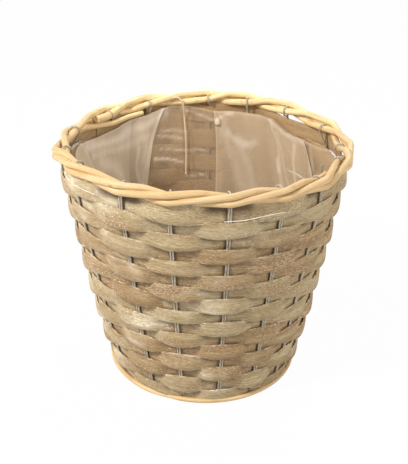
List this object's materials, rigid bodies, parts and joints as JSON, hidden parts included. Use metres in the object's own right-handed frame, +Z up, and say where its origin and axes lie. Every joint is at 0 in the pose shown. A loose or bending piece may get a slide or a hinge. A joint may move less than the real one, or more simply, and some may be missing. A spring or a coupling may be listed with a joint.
{
  "type": "wicker cachepot",
  "caption": "Round tapered cachepot of split-wood strips woven over doubled wire stakes, with a twisted willow rim and a clear film liner.",
  "frame": {"origin": "centre of the overall bounding box at its bottom, on the surface the basket stands on", "axes": "+Z up; the camera of the picture stands on the -Y side, and the wire stakes are counted from its left, against the clock seen from above"},
  "size_m": [0.2396, 0.2396, 0.1994],
  "materials": {
    "splitwood": "weathered grey-brown split wood with a thin whitish wash",
    "willow": "peeled cream-yellow willow rod, satin",
    "wire": "dull galvanised wire",
    "film": "clear soft polyethylene film, creased",
    "nylon": "translucent white nylon tag pin"
  },
  "bodies": {
    "root": {"wall_strip_01": "splitwood", "wall_strip_02": "splitwood", "wall_strip_03": "splitwood", "wall_strip_04": "splitwood", "wall_strip_05": "splitwood", "wall_strip_06": "splitwood", "wall_strip_07": "splitwood", "wall_strip_08": "splitwood", "wall_strip_09": "splitwood", "wall_strip_10": "splitwood", "wall_strip_11": "splitwood", "wall_strip_12": "splitwood", "wall_strip_13": "splitwood", "wall_strip_14": "splitwood", "wall_strip_15": "splitwood", "wall_strip_16": "splitwood", "floor_strip_1": "splitwood", "floor_strip_2": "splitwood", "floor_strip_3": "splitwood", "floor_strip_4": "splitwood", "floor_strip_5": "splitwood", "floor_strip_6": "splitwood", "floor_strip_7": "splitwood", "foot_hoop": "willow", "rim_rod_1": "willow", "rim_rod_2": "willow", "rim_rod_3": "willow", "stake_wire_1": "wire", "stake_wire_2": "wire", "stake_wire_3": "wire", "stake_wire_4": "wire", "stake_wire_5": "wire", "stake_wire_6": "wire", "stake_wire_7": "wire", "stake_wire_8": "wire", "film_liner": "film", "tag_pin_long": "nylon", "tag_pin_short": "nylon", "tag_pin_side": "nylon"}
  },
  "joints": []
}
